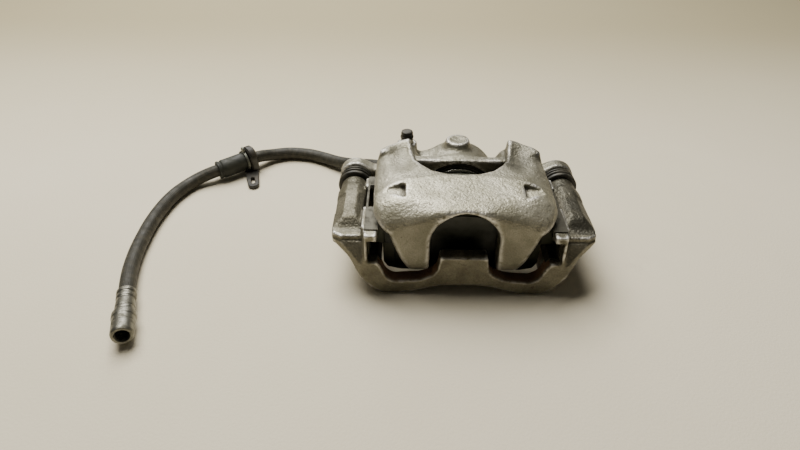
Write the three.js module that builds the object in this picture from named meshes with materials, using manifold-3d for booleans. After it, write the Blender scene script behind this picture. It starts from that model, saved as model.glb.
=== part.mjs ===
// A floating single-piston disc brake caliper on its anchor bracket, with pads and flexible hose.
// Millimetres. X runs across the car's wheel (tangential), +Y inboard along the disc's axis, +Z radially outwards.
// Every piece is drawn with y = 0 at the front face of the bracket's tie bar and z = 0 at its feet;
// the finished group is then moved so that the caliper's box, hose left out, stands on the origin.
import * as THREE from "three";
import { mergeVertices } from "three/addons/utils/BufferGeometryUtils.js";
import Module from "manifold-3d";

const wasm = await Module();
wasm.setup();

// ---- driving dimensions ----
const FLOAT_GAP = 0.3; // faces that touch on the real object stay this far apart
const PIN_X = 74; // half of the guide pin spacing
const PIN_Z = 37; // guide pins above the feet
const PIN_R = 4.75;
const PIN_BORE_R = 5.1;
const BRACKET_HALF = 84.5; // half of the bracket's width
const SLOT_X = 61.3; // end wall of the slots that the pads' ears slide in
const SLOT_Z = [25.9, 42.1];
const LUG_X = 55.3; // inner end of the lug over each slot
const LUG_TOP = 47;
const BAR_DEPTH = 11; // tie bar, front to back
const OUTER_FRAME = [0, 33]; // outboard pad abutments, front to back
const INNER_FRAME = [57, 69]; // inboard pad abutments
const RAIL = [14, 72]; // arms that carry the guide pins over the disc
const FINGER = [3, 18]; // the housing's fingers, front to back
const NOTCH_R = 21.8; // half width of the notch between the fingers
const NOTCH_Z = 38.7; // centre of the notch's round top
const BRIDGE_UNDER = 55; // underside of the bridge, over the disc's rim
const BODY_FRONT = 71; // front face of the cylinder body
const FLANGE_BACK = 79; // back of the flat flange at its mouth
const CYL_Z = 30.5; // axis of the cylinder
const CYL_R = 29.5;
const CYL_BACK = 106;
const PISTON_R = 24;
const BORE_R = 24.35;
const PISTON_Y = [70, 97];
const EAR = [84, 94]; // housing ears that the guide pins bolt to
const EAR_R = 12.5;
const PLATE = 5; // pad backing plate thickness
const LINING = 9;
const SHIM = 0.7;
const BLEED = [-37, 97]; // bleed screw, x and y
const BLEED_TOP = 60.7; // face that its hexagon seats on
const PORT = new THREE.Vector3(-22, 107, 20); // mouth of the hose port
const PORT_WAY = new THREE.Vector3(-0.84, 0.54, 0).normalize();
const HOSE_R = 5.15;
const HOSE_GAP = 0.35;
const GROMMET_R = 7.8;
const FOOT_TURN = THREE.MathUtils.degToRad(-74); // the way the hose bracket's foot points

// The hose's centreline from the crimp at the caliper to the crimp at its free end, lying on z = 0.
const HOSE_ROUTE = [
  [-54.3, 127.8, 20], [-59, 131, 19.6], [-66, 136, 17.6], [-74, 142.6, 14.2], [-83, 149.8, 10.4],
  [-92, 156.6, 7.6], [-101, 162.6, 6.1], [-110.5, 168.8, 5.4], [-124.7, 175.2, 5.2], [-143.2, 177.2, 5.3],
  [-158, 172, 6.3], [-166.3, 165, 8.8], [-174.5, 157.2, 9.9], [-182.4, 150.4, 9.9], [-191.2, 143.4, 9.4],
  [-200, 137.4, 8.8], [-208.3, 132.4, 7.2], [-214.8, 126.8, 5.7], [-219.9, 118.6, 5.2], [-224.1, 108.4, 5.2],
  [-227.2, 95.6, 5.2], [-229, 78.7, 5.2], [-229.3, 64.7, 5.2], [-228.4, 48.1, 5.2], [-227.1, 34.6, 5.3],
  [-224.8, 21.6, 5.7], [-222.2, 10.6, 6.3], [-219.1, 0.2, 6.8], [-215.6, -9.9, 7.3],
];
const PLATE_AT = 0.428; // the hose bracket's place, as a share of the hose's length
const CLIP_SPAN = [0.441, 0.4465];
const GROMMET_SPAN = [0.4395, 0.517];

// ---- helpers: three.js geometry in, solids out ----
function solid(geometry) {
  const bare = geometry.index ? geometry.toNonIndexed() : geometry.clone();
  for (const name of Object.keys(bare.attributes)) {
    if (name !== "position") bare.deleteAttribute(name);
  }
  const merged = mergeVertices(bare, 1e-4);
  const made = new wasm.Mesh({
    numProp: 3,
    vertProperties: merged.attributes.position.array,
    triVerts: new Uint32Array(merged.index.array),
  });
  return new wasm.Manifold(made);
}

function geometryOf(made) {
  const mesh = made.getMesh();
  const count = mesh.numVert;
  const points = new Float32Array(count * 3);
  for (let i = 0; i < count; i++) {
    points.set(mesh.vertProperties.subarray(i * mesh.numProp, i * mesh.numProp + 3), i * 3);
  }
  return new THREE.BufferGeometry()
    .setAttribute("position", new THREE.BufferAttribute(points, 3))
    .setIndex(new THREE.BufferAttribute(mesh.triVerts, 1));
}

const joined = (...parts) => parts.reduce((sum, part) => sum.add(part));
const cut = (body, ...tools) => tools.reduce((left, tool) => left.subtract(tool), body);

function shapeOf(points) {
  return new THREE.Shape(points.map(([a, b]) => new THREE.Vector2(a, b)));
}

// A half outline that starts and ends on x = 0, closed with its mirror image.
function mirrored(half) {
  const back = half.filter(([a]) => a !== 0).map(([a, b]) => [-a, b]);
  return [...half, ...back.reverse()];
}

// Points on an arc from angle a0 to a1, in degrees.
function arc(cx, cy, r, a0, a1, steps) {
  return Array.from({ length: steps + 1 }, (_, i) => {
    const a = THREE.MathUtils.degToRad(a0 + ((a1 - a0) * i) / steps);
    return [cx + r * Math.cos(a), cy + r * Math.sin(a)];
  });
}

// An (x, z) outline carried along y from y0 to y1.
function alongY(points, y0, y1) {
  const made = new THREE.ExtrudeGeometry(shapeOf(points), { depth: y1 - y0, bevelEnabled: false });
  return solid(made.rotateX(Math.PI / 2).translate(0, y1, 0));
}

// A (y, z) outline carried along x.
function alongX(points, x0, x1) {
  const made = new THREE.ExtrudeGeometry(shapeOf(points), { depth: x1 - x0, bevelEnabled: false });
  made.rotateY(Math.PI / 2).rotateX(Math.PI / 2);
  return solid(made.translate(x0, 0, 0));
}

// An (x, y) outline carried along z.
function alongZ(points, z0, z1) {
  const made = new THREE.ExtrudeGeometry(shapeOf(points), { depth: z1 - z0, bevelEnabled: false });
  return solid(made.translate(0, 0, z0));
}

function box(x0, x1, y0, y1, z0, z1) {
  const made = new THREE.BoxGeometry(x1 - x0, y1 - y0, z1 - z0);
  return solid(made.translate((x0 + x1) / 2, (y0 + y1) / 2, (z0 + z1) / 2));
}

// An (r, y) profile turned about a line along y through (x, z). The profile runs clockwise seen with r to the right.
function turnedY(profile, x, z, segments = 24) {
  const made = new THREE.LatheGeometry(profile.map(([r, y]) => new THREE.Vector2(r, y)), segments);
  return solid(made.translate(x, 0, z));
}

function rodY(x, z, r, y0, y1, segments = 24) {
  return solid(new THREE.CylinderGeometry(r, r, y1 - y0, segments).translate(x, (y0 + y1) / 2, z));
}

function rodZ(x, y, r0, r1, z0, z1, segments = 20) {
  const made = new THREE.CylinderGeometry(r1, r0, z1 - z0, segments).rotateX(Math.PI / 2);
  return solid(made.translate(x, y, (z0 + z1) / 2));
}

// A turned profile (r, distance) along any line: from start, the way `way` points.
function turnedAlong(profile, start, way, segments = 20) {
  const made = new THREE.LatheGeometry(profile.map(([r, d]) => new THREE.Vector2(r, d)), segments);
  const turn = new THREE.Quaternion().setFromUnitVectors(new THREE.Vector3(0, 1, 0), way);
  return solid(made.applyQuaternion(turn).translate(start.x, start.y, start.z));
}

function rodAlong(r, start, way, d0, d1, segments = 20) {
  return turnedAlong([[0, d0], [r, d0], [r, d1], [0, d1]], start, way, segments);
}

const both = (make) => joined(make(1), make(-1));

// ---- materials ----
const finish = (color, roughness, metalness) =>
  new THREE.MeshStandardMaterial({ color, roughness, metalness });
const SILVER_CASTING = finish(0xa9a69e, 0.5, 0.6);
const BRACKET_CASTING = finish(0x98968e, 0.5, 0.6);
const ZINC_STEEL = finish(0xb4b3ad, 0.35, 0.9);
const STAINLESS = finish(0xd4d2cc, 0.22, 1);
const PLATED_PISTON = finish(0xc4c4c2, 0.2, 1);
const BLACK_RUBBER = finish(0x24231f, 0.75, 0);
const BLACK_PLATE = finish(0x1c1c1a, 0.55, 0.3);
const LINING_GREY = finish(0x4a4642, 0.9, 0.1);
const HOSE_RUBBER = finish(0x2e2c26, 0.6, 0);
const COPPER = finish(0xb0693e, 0.4, 0.9);

const caliper = new THREE.Group();

function add(name, made, material) {
  const mesh = new THREE.Mesh(made.isBufferGeometry ? made : geometryOf(made), material);
  mesh.name = name;
  caliper.add(mesh);
  return mesh;
}

// ---- anchor bracket ----
function outboardOutline() {
  return mirrored([
    [0, 7.5], [13, 7], [27, 3.4], [40, 0], [52.5, 0], [60, 5.5], [67.5, 15], [74, 26.5],
    [BRACKET_HALF, 34.5], [BRACKET_HALF, 40], [65.5, 40], [65.5, LUG_TOP], [LUG_X, LUG_TOP],
    [LUG_X, SLOT_Z[1]], [SLOT_X, SLOT_Z[1]], [SLOT_X, SLOT_Z[0]], [55.5, SLOT_Z[0]], [53, 22.5],
    ...arc(41.5, 20, 10, -12, -80, 4), [27.5, 12.4], [19.6, 16.4], [16.8, 20], [15, 30], [0, 30],
  ]);
}

function inboardOutline() {
  return mirrored([
    [0, 0], [46, 0], [74, 0], [79.5, 5], [82, 30], [65.5, 34], [65.5, LUG_TOP],
    [LUG_X, LUG_TOP], [LUG_X, SLOT_Z[1]], [SLOT_X, SLOT_Z[1]], [SLOT_X, SLOT_Z[0]], [55.5, SLOT_Z[0]],
    [52, 19], [46, 13], [36, 11], [0, 11],
  ]);
}

// Section of the arm that holds a guide pin: round over the pin, squared off outside.
function railOutline(side) {
  const half = [
    [64.5, 30], [69, 26.2], [79, 26.2], [85, 32.5], [85, 41.5], ...arc(PIN_X, PIN_Z, 9.6, 42, 138, 6),
    [64.5, 42],
  ];
  const placed = half.map(([x, z]) => [side * x, z]);
  return side > 0 ? placed : placed.reverse();
}

const MOUNT = { x: 62, z: 11, r: 11, back: 78, hole: 5.1 };
const NECK = { r: 8.3, end: 76 };

function bracket() {
  const clearBack = 54; // pads and fingers pass inside this half width
  const outboard = cut(
    alongY(outboardOutline(), ...OUTER_FRAME),
    box(-clearBack, clearBack, BAR_DEPTH, OUTER_FRAME[1] + 1, -1, 60),
    both((s) => {
      const wedge = [[66, -1], [66, 0], [BRACKET_HALF, 12], [92, 12], [92, -1]].map(([x, y]) => [s * x, y]);
      return alongZ(s > 0 ? wedge.reverse() : wedge, -5, 60);
    }),
    cut(alongX([[-1, 22.5], [9, 37.5], [9, 60], [-1, 60]], -92, 92), box(-65.5, 65.5, -2, 10, 0, 61)),
  );
  const inboard = cut(
    alongY(inboardOutline(), ...INNER_FRAME),
    rodY(0, CYL_Z, PISTON_R + 1, 50, 80, 36), // saddle that lets the piston pass
  );
  const rails = both((s) => alongY(railOutline(s), ...RAIL));
  const nose = alongX([[10, 38.5], [15, 38.8], [25, 47.5], [25, 60], [10, 60]], -90, 90);
  const lugsBehindNose = both((s) => box(...(s > 0 ? [LUG_X, 65.5] : [-65.5, -LUG_X]), 3, 30, 43, LUG_TOP));
  const mounts = both((s) => rodY(s * MOUNT.x, MOUNT.z, MOUNT.r, INNER_FRAME[0], MOUNT.back));
  const necks = both((s) => rodY(s * PIN_X, PIN_Z, NECK.r, 70, NECK.end));
  return cut(
    joined(outboard, inboard, cut(rails, nose), lugsBehindNose, mounts, necks),
    both((s) => rodY(s * MOUNT.x, MOUNT.z, MOUNT.hole, 50, 90, 20)),
    both((s) => rodY(s * PIN_X, PIN_Z, PIN_BORE_R, 30, 90, 20)),
  );
}

// ---- pad clips: stainless strip folded into both slots and over the lugs ----
const STRIP = 0.5;
function clipSection(side) {
  const g = FLOAT_GAP;
  const out = SLOT_X - g;
  const top = SLOT_Z[1] - g;
  const low = SLOT_Z[0] + g;
  const end = LUG_X - g;
  const lid = LUG_TOP + g;
  const half = [
    [53.2, low - 3.2], [55.4, low], [out, low], [out, top], [end, top], [end, lid], [63.5, lid],
    [63.5, lid + STRIP], [end - STRIP, lid + STRIP], [end - STRIP, top - STRIP],
    [out - STRIP, top - STRIP], [out - STRIP, low + STRIP], [55, low + STRIP], [52.6, low - 3],
  ];
  const placed = half.map(([x, z]) => [side * x, z]);
  return side > 0 ? placed : placed.reverse();
}

function padClip(side) {
  const span = side > 0 ? [62.1, 63.5] : [-63.5, -62.1];
  return joined(
    alongY(clipSection(side), 6, 31),
    alongY(clipSection(side), INNER_FRAME[0] + 0.5, INNER_FRAME[1] - 0.5),
    box(...span, 6, INNER_FRAME[1] - 0.5, LUG_TOP + FLOAT_GAP, LUG_TOP + FLOAT_GAP + STRIP),
  );
}

// ---- caliper housing ----
const BRIDGE_SIDE = [
  [FINGER[0], 15.5], [FINGER[1], 15.5], [FINGER[1], BRIDGE_UNDER], [BODY_FRONT, BRIDGE_UNDER],
  [BODY_FRONT, 45], [89, 45], [89, 66.5], [86, 69], [36, 66.6], [20, 65], [12, 64], [7, 62], [4, 58.5],
  [FINGER[0], 54],
];
const BRIDGE_PLAN = mirrored([
  [0, 0], [49, 0], [54.5, 6.5], [58.7, 17], [60, 27], [60, 60], [58.8, 70], [56.5, 76.5], [40, 87], [34, 90],
  [0, 90],
]);
const FINGER_FRONT = mirrored([
  [0, 14], [35, 14], [37, 17.5], [41, 25.5], [44.7, 35], [48.2, 44.8], [54, 48.8], [58, 50.5], [60, 54],
  [60, 58], [57.5, 62], [52, 65.5], [40, 68], [20, 69.5], [0, 70],
]);
const WINDOW = [
  [34, 95], [33, 75], [31, 63], [27, 56], [20, 48.6], [10, 44.2], [0, 43], [-10, 44.2], [-20, 48.6],
  [-27, 56], [-31, 63], [-33, 75], [-34, 95],
].reverse();
const BODY_SHOULDERS = mirrored([
  [0, 5], [18, 7], [28, 18], [31, 29], [45, 34], [56, 45], [59, 57], [56, 66], [50, 68.4], [34.5, 68.8],
  [33.5, 60], [0, 60],
]);
const BEHIND_FLANGE = mirrored([[0, 40], [25, 40], [27, 53], [33.5, 63], [33.5, 80], [0, 80]]);

function triangleRecess(side) {
  const plan = [[37.7, 18.5], [51, 25.5], [47, 30.5], [37.7, 32.5]].map(([x, y]) => [side * x, y]);
  return alongZ(side > 0 ? plan : plan.reverse(), 60.5, 75);
}

function housing() {
  const bridge = alongX(BRIDGE_SIDE, -62, 62)
    .intersect(alongZ(BRIDGE_PLAN, 0, 80))
    .intersect(alongY(FINGER_FRONT, -5, 100));
  const notch = mirrored([[0, 5], [NOTCH_R, 5], ...arc(0, NOTCH_Z, NOTCH_R, 0, 90, 8)]);
  const shoulders = alongY(BODY_SHOULDERS, BODY_FRONT, 88).intersect(alongZ(BRIDGE_PLAN, 0, 80));
  const barrel = turnedY(
    [[0, BODY_FRONT], [CYL_R, BODY_FRONT], [CYL_R, 95], [28, 100], [24.4, 103.6], [18.5, CYL_BACK], [0, CYL_BACK]],
    0, CYL_Z, 36,
  );
  const ears = both((s) =>
    joined(
      rodY(s * PIN_X, PIN_Z, EAR_R, ...EAR),
      box(...(s > 0 ? [24, PIN_X] : [-PIN_X, -24]), EAR[0], EAR[1], PIN_Z - 7.5, PIN_Z + 7.5),
    ),
  );
  const castBoss = rodZ(0, 95, 9.2, 7.8, 48, 64.5);
  const [bx, by] = BLEED;
  const bleedBoss = joined(rodZ(bx, by, 8.4, 7.6, 36, BLEED_TOP), box(bx, -18, by - 7, by + 5, 34, 52));
  const portBoss = rodAlong(7.6, PORT, PORT_WAY, -16, 0);
  const arms = cut(
    joined(bridge, shoulders),
    cut(alongZ(WINDOW, 45, 80), box(-40, 40, BODY_FRONT, 100, 40, 60)),
    alongY(BEHIND_FLANGE, FLANGE_BACK, 100),
  );
  const body = joined(arms, barrel, ears, castBoss, bleedBoss, portBoss);
  return cut(
    body,
    alongY(notch, -1, FINGER[1] + 2),
    triangleRecess(1),
    triangleRecess(-1),
    rodY(0, CYL_Z, BORE_R, 60, 99, 36),
    rodY(0, CYL_Z, 27, 60, 74.5, 36),
    rodY(0, CYL_Z, 26.9, 79, 83, 36),
    both((s) => rodY(s * PIN_X, PIN_Z, 4.3, 80, 99, 16)),
    rodZ(bx, by, 4, 4, 42, 70, 16),
    rodAlong(5, PORT, PORT_WAY, -11, 2, 16),
  );
}

// ---- piston, seal, boots ----
function piston() {
  const [y0, y1] = PISTON_Y;
  return turnedY(
    [
      [18, y0], [23.4, y0], [23.4, y0 + 1.2], [22.8, y0 + 1.2], [22.8, y0 + 3.2], [PISTON_R, y0 + 3.2],
      [PISTON_R, y1 - 1.5], [PISTON_R - 1.5, y1], [0, y1], [0, y1 - 7], [15, y1 - 7], [18, y1 - 10], [18, y0],
    ],
    0, CYL_Z, 36,
  );
}

const ring = (r0, r1, y0, y1, x, z, segments) =>
  turnedY([[r0, y0], [r1, y0], [r1, y1], [r0, y1], [r0, y0]], x, z, segments);

function pistonBoot() {
  return turnedY(
    [[23.1, 71.5], [26.7, 71.5], [26.7, 74.2], [24.7, 74.2], [24.7, 72.9], [23.1, 72.9], [23.1, 71.5]],
    0, CYL_Z, 36,
  );
}

function pinBoot(side) {
  const n = NECK.r + FLOAT_GAP;
  return turnedY(
    [
      [n, 72.3], [11.4, 72.3], [12.4, 74.5], [10.6, 77], [12.4, 79.3], [10.6, 81.2], [9.4, 83.7], [7.2, 83.7],
      [7.2, 80.6], [5.4, 80.6], [5.4, NECK.end + FLOAT_GAP], [n, NECK.end + FLOAT_GAP], [n, 72.3],
    ],
    side * PIN_X, PIN_Z, 20,
  );
}

function guidePin(side, groove) {
  const tip = groove
    ? [[0, 33], [3.9, 33], [3.9, 45.8], [PIN_R, 45.8]]
    : [[0, 33], [3.9, 33], [PIN_R, 34.5]];
  return turnedY(
    [...tip, [PIN_R, 81], [6.8, 81], [6.8, 83.7], [3.8, 83.7], [3.8, 67], [0, 67]],
    side * PIN_X, PIN_Z, 20,
  );
}

function guideBolt(side) {
  const shank = turnedY(
    [[0, 68], [3.5, 68], [3.5, EAR[1] + FLOAT_GAP], [8.4, EAR[1] + FLOAT_GAP], [8.4, 95.6], [6, 95.6], [0, 95.6]],
    side * PIN_X, PIN_Z, 20,
  );
  return joined(shank, rodY(side * PIN_X, PIN_Z, 7.2, 95.4, 101, 6));
}

// ---- pads ----
const PAD_OUTLINE = mirrored([
  [0, 13.5], [26, 14.5], [42, 18], [50.5, 22.5], [52.2, 27.2], [59.9, 27.2], [59.9, 40.8], [52.6, 40.8],
  [47, 45], [28, 50], [0, 52],
]);
const OUTER_PAD_OUTLINE = mirrored([
  [0, 4], [24, 4], [41, 4.4], [49, 6.5], [51.8, 11], [52.2, 27.2], [59.9, 27.2], [59.9, 40.8], [52.6, 40.8],
  [47, 45], [28, 50], [0, 52],
]);
const LINING_OUTLINE = mirrored([
  [0, 15.5], [26, 16.4], [41, 19.8], [48.4, 24], [50, 39.6], [45.5, 43.4], [27, 48], [0, 50],
]);
const OUTER_PAD = { outline: OUTER_PAD_OUTLINE, shim: FINGER[1] + FLOAT_GAP, toDisc: 1 };
const INNER_PAD = { outline: PAD_OUTLINE, shim: PISTON_Y[0] - FLOAT_GAP, toDisc: -1 };

function layer(outline, from, thickness, way) {
  const ends = [from, from + way * thickness].sort((a, b) => a - b);
  return alongY(outline, ...ends);
}

function padLayers(name, { outline, shim, toDisc }) {
  const plate = shim + toDisc * (SHIM + FLOAT_GAP);
  const lining = plate + toDisc * (PLATE + FLOAT_GAP);
  const shimOutline = outline.map(([x, z]) => [x * 0.86, 32 + (z - 32) * 0.9]);
  const faces = [lining, lining + toDisc * LINING];
  const groove = box(-1.2, 1.2, Math.min(...faces) - (toDisc < 0 ? 1 : -6), Math.max(...faces) + (toDisc < 0 ? -6 : 1), 0, 60);
  add(`${name}_pad_shim`, layer(shimOutline, shim, SHIM, toDisc), STAINLESS);
  add(`${name}_pad_backing_plate`, layer(outline, plate, PLATE, toDisc), BLACK_PLATE);
  add(`${name}_pad_lining`, cut(layer(LINING_OUTLINE, lining, LINING, toDisc), groove), LINING_GREY);
}

// Three-finger spring that clips the inner pad into the piston's mouth.
function padSpring() {
  const back = PISTON_Y[0];
  return turnedY(
    [[5, back], [16.6, back], [17.4, back + 8], [16.8, back + 8], [15.9, back + 0.7], [5, back + 0.7], [5, back]],
    0, CYL_Z, 24,
  );
}

// ---- bleed screw ----
function bleedScrew() {
  const [x, y] = BLEED;
  return joined(
    rodZ(x, y, 3.6, 3.6, 45, BLEED_TOP + 0.5, 16),
    rodZ(x, y, 5.2, 5.2, BLEED_TOP + FLOAT_GAP, BLEED_TOP + 3.5, 6),
    rodZ(x, y, 2.9, 2.4, BLEED_TOP + 3.3, BLEED_TOP + 7.5, 16),
  );
}

function bleedCap() {
  const [x, y] = BLEED;
  const [low, high] = [BLEED_TOP + 3.8, BLEED_TOP + 9.1];
  return cut(rodZ(x, y, 4.9, 4.2, low, high, 16), rodZ(x, y, 3.3, 3.3, 58, high - 1.2, 16));
}

// ---- hose ----
const hoseLine = new THREE.CatmullRomCurve3(
  HOSE_ROUTE.map((p) => new THREE.Vector3(...p)), false, "centripetal",
);

function stretch(u0, u1, steps) {
  const points = Array.from({ length: steps + 1 }, (_, i) => hoseLine.getPointAt(u0 + ((u1 - u0) * i) / steps));
  return new THREE.CatmullRomCurve3(points, false, "centripetal");
}

function tube(u0, u1, steps, radius, hole = 0, sides = 10) {
  const ringShape = shapeOf(arc(0, 0, radius, 0, 360, sides).slice(0, -1));
  if (hole) ringShape.holes.push(new THREE.Path(arc(0, 0, hole, 0, 360, sides).slice(0, -1).map((p) => new THREE.Vector2(...p))));
  return new THREE.ExtrudeGeometry(ringShape, { steps, extrudePath: stretch(u0, u1, steps), bevelEnabled: false });
}

function hoseFittings() {
  const start = PORT.clone();
  const ferruleNear = new THREE.Vector3(...HOSE_ROUTE[0]);
  const runNear = ferruleNear.distanceTo(start);
  const nearWay = ferruleNear.clone().sub(start).normalize();
  add("inlet_washer", turnedAlong([[4.9, 0.3], [7.4, 0.3], [7.4, 1.5], [4.9, 1.5], [4.9, 0.3]], start, nearWay), COPPER);
  add("hose_inlet_fitting", joined(
    rodAlong(4.5, start, nearWay, -9, 10, 16),
    rodAlong(8, start, nearWay, 1.8, 10.5, 6),
  ), ZINC_STEEL);
  add("hose_inlet_ferrule", rodAlong(6.6, start, nearWay, 10.8, runNear - FLOAT_GAP, 16), ZINC_STEEL);
  const end = hoseLine.getPointAt(1);
  const endWay = hoseLine.getTangentAt(1);
  add("hose_end_ferrule", turnedAlong([
    [0, FLOAT_GAP], [6.3, FLOAT_GAP], [6.3, 8], [5.7, 9], [6.4, 11], [6.4, 21.5], [0, 21.5],
  ], end, endWay, 16), ZINC_STEEL);
  add("hose_end_socket", turnedAlong([
    [0, 21.8], [6.4, 21.8], [7.6, 23.6], [7.6, 40.5], [7, 42], [5.2, 42], [4.4, 40.6], [4.4, 29], [0, 29],
  ], end, endWay, 16), ZINC_STEEL);
  return end;
}

// The hose bracket: an upright plate square to the hose, folded into a slotted foot that lies flat.
const BRACKET_THICK = 7;
const FOOT_THICK = 3;
function hoseBracket() {
  const centre = hoseLine.getPointAt(PLATE_AT);
  const way = hoseLine.getTangentAt(PLATE_AT).setZ(0).normalize();
  const up = new THREE.Vector3(0, 0, 1);
  const aside = up.clone().cross(way);
  const upright = shapeOf([...arc(0, 3.5 + 9, 9.5, 0, 180, 8), [-9.5, 0], [9.5, 0]].map(([a, z]) => [a, z - centre.z]));
  const hole = arc(0, 0, HOSE_R + HOSE_GAP + 0.3, 0, 360, 16).slice(0, -1);
  upright.holes.push(new THREE.Path(hole.map((p) => new THREE.Vector2(...p))));
  const plate = new THREE.ExtrudeGeometry(upright, { depth: BRACKET_THICK, bevelEnabled: false });
  plate.translate(0, 0, -BRACKET_THICK / 2);
  plate.applyMatrix4(new THREE.Matrix4().makeBasis(aside, up, aside.clone().cross(up)));
  const foot = shapeOf([[-4, -7], ...arc(30, 0, 4.6, -90, 90, 6), [-4, 7]]);
  const slot = [...arc(28, 0, 1.4, -90, 90, 4), ...arc(21, 0, 1.4, 90, 270, 4)];
  foot.holes.push(new THREE.Path(slot.map((p) => new THREE.Vector2(...p))));
  const lying = new THREE.ExtrudeGeometry(foot, { depth: FOOT_THICK, bevelEnabled: false });
  lying.rotateZ(FOOT_TURN).translate(0, 0, -centre.z);
  const underGrommet = new THREE.BoxGeometry(22, 20, 40).translate(0, 0, 20 + BRACKET_THICK / 2);
  underGrommet.applyMatrix4(new THREE.Matrix4().makeBasis(aside, up, aside.clone().cross(up)));
  const flange = cut(solid(lying), solid(underGrommet));
  const made = joined(solid(plate), flange).translate([centre.x, centre.y, centre.z]);
  return cut(made, solid(tube(PLATE_AT - 0.06, PLATE_AT + 0.06, 8, HOSE_R + HOSE_GAP + 0.2, 0, 12)));
}

// Spring ring that holds the grommet against the plate, with a tab to pull it by.
function hoseClip() {
  const at = (CLIP_SPAN[0] + CLIP_SPAN[1]) / 2;
  const centre = hoseLine.getPointAt(at);
  const way = hoseLine.getTangentAt(at);
  const band = solid(tube(...CLIP_SPAN, 2, 9.3, GROMMET_R + 0.6, 16));
  const up = new THREE.Vector3(0, 0, 1);
  const tab = rodAlong(2.6, centre.clone().addScaledVector(up, 11.4), way, -0.9, 0.9, 10);
  return joined(band, tab);
}

// ---- assembly ----
add("anchor_bracket", bracket(), BRACKET_CASTING);
add("caliper_housing", housing(), SILVER_CASTING);
add("piston", piston(), PLATED_PISTON);
add("piston_seal", ring(24.3, 26.6, 79.4, 82.6, 0, CYL_Z, 36), BLACK_RUBBER);
add("piston_dust_boot", pistonBoot(), BLACK_RUBBER);
for (const [label, side] of [["left", -1], ["right", 1]]) {
  add(`pad_clip_${label}`, padClip(side), STAINLESS);
  add(`guide_pin_${label}`, guidePin(side, side < 0), ZINC_STEEL);
  add(`guide_pin_bolt_${label}`, guideBolt(side), ZINC_STEEL);
  add(`guide_pin_boot_${label}`, pinBoot(side), BLACK_RUBBER);
}
add("guide_pin_damper_sleeve", ring(4.1, 4.9, 34, 45.4, -PIN_X, PIN_Z, 20), BLACK_RUBBER);
padLayers("outer", OUTER_PAD);
padLayers("inner", INNER_PAD);
add("inner_pad_spring", padSpring(), STAINLESS);
add("bleed_screw", bleedScrew(), ZINC_STEEL);
add("bleed_screw_cap", bleedCap(), BLACK_RUBBER);
hoseFittings();
add("brake_hose", tube(0, 1, 70, HOSE_R), HOSE_RUBBER);
add("hose_grommet", tube(...GROMMET_SPAN, 5, GROMMET_R, HOSE_R + HOSE_GAP, 12), BLACK_RUBBER);
add("hose_clip", hoseClip(), ZINC_STEEL);
add("hose_bracket", hoseBracket(), BLACK_PLATE);

// Stand the caliper, without the hose, on the origin.
const cord = /^(brake_hose|hose_)/;
const bounds = new THREE.Box3();
for (const mesh of caliper.children) {
  if (!cord.test(mesh.name)) bounds.expandByObject(mesh);
}
const middle = bounds.getCenter(new THREE.Vector3());
caliper.position.set(-middle.x, -middle.y, -bounds.min.z);

export default caliper;
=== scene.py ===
# %% [markdown]
# # A disc brake caliper, its bracket and its hose
# A floating caliper has two large castings: a bracket that bolts to the axle, and a housing that slides on two
# pins held in the bracket. Everything else, such as the rubber boots, pads and hose fittings, is small and turned,
# pressed or moulded. The imported CAD model is loaded first and stays fixed: every piece below is drawn
# over it, in millimetres, and most ride on one of its bodies; the boots ride on none.

import math

import bmesh
import bpy
import numpy as np
from mathutils import Matrix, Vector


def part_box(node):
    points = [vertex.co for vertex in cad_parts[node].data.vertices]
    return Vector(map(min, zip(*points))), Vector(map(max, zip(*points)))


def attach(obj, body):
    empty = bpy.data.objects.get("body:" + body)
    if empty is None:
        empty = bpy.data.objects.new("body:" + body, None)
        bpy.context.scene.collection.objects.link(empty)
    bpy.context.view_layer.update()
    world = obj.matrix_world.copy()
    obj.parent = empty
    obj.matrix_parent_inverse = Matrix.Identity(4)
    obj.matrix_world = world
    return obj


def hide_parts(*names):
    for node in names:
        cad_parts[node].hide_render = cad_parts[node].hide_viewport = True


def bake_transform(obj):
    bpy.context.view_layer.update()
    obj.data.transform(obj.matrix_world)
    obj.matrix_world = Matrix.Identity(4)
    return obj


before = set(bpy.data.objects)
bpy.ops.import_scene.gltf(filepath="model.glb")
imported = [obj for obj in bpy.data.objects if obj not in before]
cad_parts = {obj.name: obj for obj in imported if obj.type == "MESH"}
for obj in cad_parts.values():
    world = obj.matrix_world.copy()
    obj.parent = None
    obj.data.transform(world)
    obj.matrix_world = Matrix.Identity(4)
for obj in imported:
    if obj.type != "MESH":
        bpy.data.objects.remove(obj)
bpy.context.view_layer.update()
BAR_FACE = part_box("anchor_bracket")[0].y * 1000
print("front face of the bracket's bar at", round(BAR_FACE, 2), "mm")


def to_row(points):
    """Drawing millimetres, measured from the bar's front face, turned into the frame's metres."""
    return (np.asarray(points, float) + (0, BAR_FACE, 0)) / 1000


def placed(side, over, back, at):
    """A matrix whose columns are three unit vectors and a place."""
    return Matrix([*np.column_stack([side, over, back, at]).tolist(), [0, 0, 0, 1]])


def added(name, data):
    """A new object in the scene."""
    made = bpy.data.objects.new(name, data)
    bpy.context.scene.collection.objects.link(made)
    return made


# %% [markdown]
# ## Camera
# A camera is a point, a direction and a lens. The direction is written as three angles: down by the pitch, to the
# left by the yaw, and a slight roll. Three unit vectors follow from them, and they are the camera's axes.

# %% Camera
PITCH, YAW, ROLL = 0.634435, -0.008778, 0.007746
ahead = np.array([math.sin(YAW) * math.cos(PITCH), math.cos(YAW) * math.cos(PITCH), -math.sin(PITCH)])
level = np.array([math.cos(YAW), -math.sin(YAW), 0.0])
over = np.cross(level, ahead)
to_right = level * math.cos(ROLL) + over * math.sin(ROLL)
to_top = over * math.cos(ROLL) - level * math.sin(ROLL)
eye = to_row([-38.424, -271.598, 255.843])

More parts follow.
